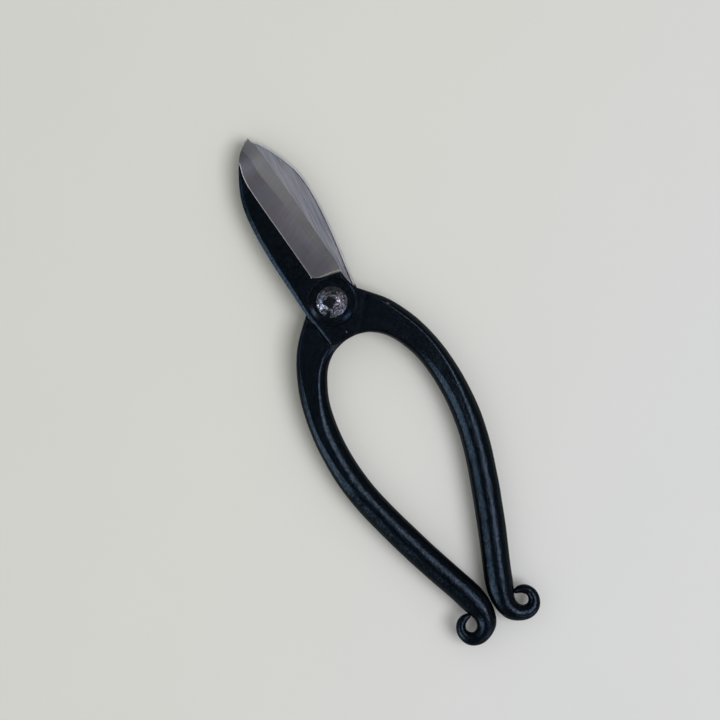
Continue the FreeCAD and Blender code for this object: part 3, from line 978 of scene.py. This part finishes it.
def rivet_steel(name):
    """Bright hammered head, with black left on the top facet, in a wedge below, in dents and on the rim, and
    painted shade on the side of the head towards the top of the view.
    """
    s = Shader(name)
    radius = s.vector("DOT_PRODUCT", s.vector("MULTIPLY", s.place, (1, 1, 0)), s.place)
    radius = s.math("SQRT", radius)
    blot = s.math("SUBTRACT", s.noise(1.3, 4.0, 0.6), 0.5)
    grit = s.noise(0.8, 5.0, 0.66, 4.0)
    centred = s.vector("SUBTRACT", s.place, (-0.55, 0.25, 0))
    across = s.vector("DOT_PRODUCT", centred, (0.90, 0.44, 0))
    along = s.vector("DOT_PRODUCT", centred, (-0.44, 0.90, 0))
    reach = s.math("MAXIMUM", s.math("ABSOLUTE", across), s.math("ABSOLUTE", along))
    middle = s.step(s.total((reach, 1.0), (blot, 1.8)), 1.85, 1.45)
    side = s.math("ABSOLUTE", s.vector("DOT_PRODUCT", s.place, (0.73, -0.68, 0)))
    down = s.vector("DOT_PRODUCT", s.place, (-0.68, -0.73, 0))
    wedge = s.math("MULTIPLY", s.step(s.total((side, 1.0), (blot, 2.0)), 0.9, 0.5), s.step(down, 2.0, 3.0))
    top = s.vector("DOT_PRODUCT", s.place, (0.47, 0.88, 0))
    # Painted shade: the head is darkened on its side towards the top of the view
    shaded = s.math("MULTIPLY", s.step(s.total((top, 1.0), (blot, 5.0)), 0.8, 2.8), 0.94)
    dents = s.math("MULTIPLY", s.step(grit, 0.47, 0.56), 0.95)
    rim = s.step(radius, HEAD_RADIUS - 0.34, HEAD_RADIUS - 0.12)
    dark = s.math("MAXIMUM", s.math("MAXIMUM", middle, wedge), s.math("MAXIMUM", dents, rim))
    dark = s.math("MAXIMUM", dark, shaded)
    bright = s.mix(s.step(s.noise(0.6, 4.0, 0.6), 0.35, 0.65), rgb(0.18, 0.18, 0.23), rgb(0.82, 0.82, 0.95))
    # The same black paints both the residue and the painted shade
    colour = s.mix(dark, bright, RESIDUE_AND_SHADE_BLACK)
    return s.finish(colour, s.blend(dark, 0.22, 0.32), s.blend(dark, 1.0, 0.2), s.bump(grit, 0.09),
                    Specular_IOR_Level=0.3)


# ---------------------------------------------------------------- floor, light and camera

ROLL = math.radians(28)         # the tool lies turned this far to the left in the picture
PICTURE_UP = Vector((math.sin(ROLL), math.cos(ROLL), 0))
PICTURE_RIGHT = Vector((math.cos(ROLL), -math.sin(ROLL), 0))
PICTURE_SIDE = 0.2195           # width of the floor that the picture shows
CAMERA_HEIGHT = 0.6
AIM = Vector((-0.73 * MM, -19.5 * MM, PIVOT.z))
FLOOR_SIDE = 6.0
FLOOR_WARM = rgb(0.798, 0.808, 0.779)       # tone at the picture's upper left
FLOOR_COOL = rgb(0.793, 0.797, 0.836)       # tone at its lower right
FLOOR_DARKENED = 0.78           # how far the floor is darkened where the metal mirrors it


def picture_direction(azimuth, zenith):
    """Direction by degrees counterclockwise from the picture's right and degrees off the vertical."""
    turn, tilt = math.radians(azimuth), math.radians(zenith)
    flat = PICTURE_RIGHT * math.cos(turn) + PICTURE_UP * math.sin(turn)
    return flat * math.sin(tilt) + Vector((0, 0, math.cos(tilt)))


def floor():
    """Pale matt card, a little cooler towards the picture's lower right."""
    s = Shader("floor_card")
    toward = PICTURE_RIGHT - PICTURE_UP * 0.5
    drift = s.step(s.vector("DOT_PRODUCT", s.place, tuple(toward)), -40.0, 160.0)
    colour = s.mix(drift, FLOOR_WARM, FLOOR_COOL)
    colour = s.mix(s.math("MULTIPLY", s.noise(40.0), 0.06), colour, rgb(0.5, 0.5, 0.5))
    mirrored = s.add("ShaderNodeLightPath").outputs["Is Glossy Ray"]
    colour = s.mix(s.math("MULTIPLY", mirrored, FLOOR_DARKENED), colour, rgb(0.0, 0.0, 0.0))
    s.finish(colour, 0.8, 0.0, s.bump(s.noise(0.7), 0.01), Specular_IOR_Level=0.2)
    half = FLOOR_SIDE / 2
    mesh = bpy.data.meshes.new("floor")
    corners = [(-half, -half, 0), (half, -half, 0), (half, half, 0), (-half, half, 0)]
    mesh.from_pydata(corners, [], [(0, 1, 2, 3)])
    mesh.materials.append(s.material)
    card = bpy.data.objects.new("floor", mesh)
    card.location.z = cad_box[0].z
    bpy.context.scene.collection.objects.link(card)


# Soft boxes that the metal mirrors: azimuth and zenith angle in the picture, angular radius, colour
REFLECTED_BOXES = [
    (207, 46, 19, (1.18, 1.34, 1.54)),
    (209, 72, 19, (1.30, 1.30, 1.36)),
    (12, 28, 17, (1.12, 1.03, 1.12)),
    (42, 24, 18, (1.16, 1.06, 1.06)),
    (-14, 25, 13, (1.85, 1.60, 1.90)),
    (170, 56, 16, (0.34, 0.52, 0.74)),
    (-36, 52, 26, (0.17, 0.17, 0.18)),
    (-42, 80, 15, (0.48, 0.68, 1.18)),
    (-66, 60, 15, (0.40, 0.44, 0.48)),
]
BOX_CORE = 0.3                  # share of a box's radius that is fully bright
OVERHEAD = rgb(0.026, 0.037, 0.046)
LOW_SKY = rgb(0.060, 0.070, 0.080)
AMBIENT_HIGH = rgb(0.555, 0.552, 0.510)
AMBIENT_LOW = rgb(0.11, 0.11, 0.108)


def world():
    """Even light on the floor, and a darker room with soft boxes for what the metal mirrors."""
    studio = bpy.data.worlds.new("studio")
    bpy.context.scene.world = studio
    studio.use_nodes = True
    studio.cycles.sampling_method = "NONE"
    w = Nodes(studio.node_tree)
    ray = w.add("ShaderNodeTexCoord").outputs["Generated"]
    height = w.add("ShaderNodeSeparateXYZ", Vector=ray).outputs[2]
    sky = w.mix(w.step(height, 0.75, 0.2), OVERHEAD, LOW_SKY)
    for azimuth, zenith, radius, colour in REFLECTED_BOXES:
        near = w.vector("DOT_PRODUCT", ray, tuple(picture_direction(azimuth, zenith)))
        share = w.step(near, math.cos(math.radians(radius)), math.cos(math.radians(radius * BOX_CORE)))
        sky = w.vector("ADD", sky, w.vector("MULTIPLY", share, colour))
    glossy = w.add("ShaderNodeLightPath").outputs["Is Glossy Ray"]
    ambient = w.mix(w.step(height, 0.1, 0.9), AMBIENT_LOW, AMBIENT_HIGH)
    background = w.add("ShaderNodeBackground", Color=w.mix(glossy, ambient, sky))
    output = w.add("ShaderNodeOutputWorld")
    w.tree.links.new(background.outputs[0], output.inputs["Surface"])


KEY_PLACE = (-18, 26)           # azimuth and zenith angle in the picture
KEY_DISTANCE = 1.6
KEY_SIZE = 0.90
KEY_POWER = 12.7


def key_light():
    """Wide soft light from above the picture's right, for the narrow soft shadows."""
    data = bpy.data.lights.new("key", "AREA")
    data.size = KEY_SIZE
    data.energy = KEY_POWER
    light = bpy.data.objects.new("key", data)
    away = picture_direction(*KEY_PLACE)
    light.location = AIM + away * KEY_DISTANCE
    light.rotation_euler = (-away).to_track_quat("-Z", "Y").to_euler()
    light.visible_glossy = False
    bpy.context.scene.collection.objects.link(light)


def camera():
    """Camera straight above the tool."""
    data = bpy.data.cameras.new("camera")
    data.sensor_width = 36.0
    data.lens = data.sensor_width * CAMERA_HEIGHT / PICTURE_SIDE
    eye = bpy.data.objects.new("camera", data)
    turn = Matrix((PICTURE_RIGHT, PICTURE_UP, Vector((0, 0, 1)))).transposed()
    eye.matrix_world = Matrix.Translation(AIM + Vector((0, 0, CAMERA_HEIGHT))) @ turn.to_4x4()
    bpy.context.scene.collection.objects.link(eye)
    bpy.context.scene.camera = eye


# ---------------------------------------------------------------- the whole tool

def build():
    """Every piece with its finish."""
    black = black_finish("forged_black")
    rubbed = black_finish("rubbed_black", 0.35)
    worn = worn_steel("bright_line")
    ridge = ridge_steel("hollow_ridge")
    for half, side, sign in ((UPPER, "upper", 1), (LOWER, "lower", -1)):
        ground = ground_steel(side + "_bevel", sign, *BODY_BEVEL)
        edge_ground = ground_steel(side + "_edge_bevel", sign, *EDGE_BEVEL)
        inner = inner_steel(side + "_inner_face", sign)
        face = lap_face(side + "_lap_face", sign)
        steel = make_half(half, side, black, rubbed, ground, inner, ridge, worn, face)
        for slot in steel.material_slots:
            if slot.material == ground:
                slot.material = edge_ground
    rivet()
    washer_black = black_finish("washer_black")
    washer("rounded_washer_top", "top_washer", UPPER, washer_black)
    washer("rounded_washer_bottom", "bottom_washer", LOWER, washer_black)


build()
floor()
world()
key_light()
camera()
bpy.context.scene.view_settings.view_transform = "Standard"
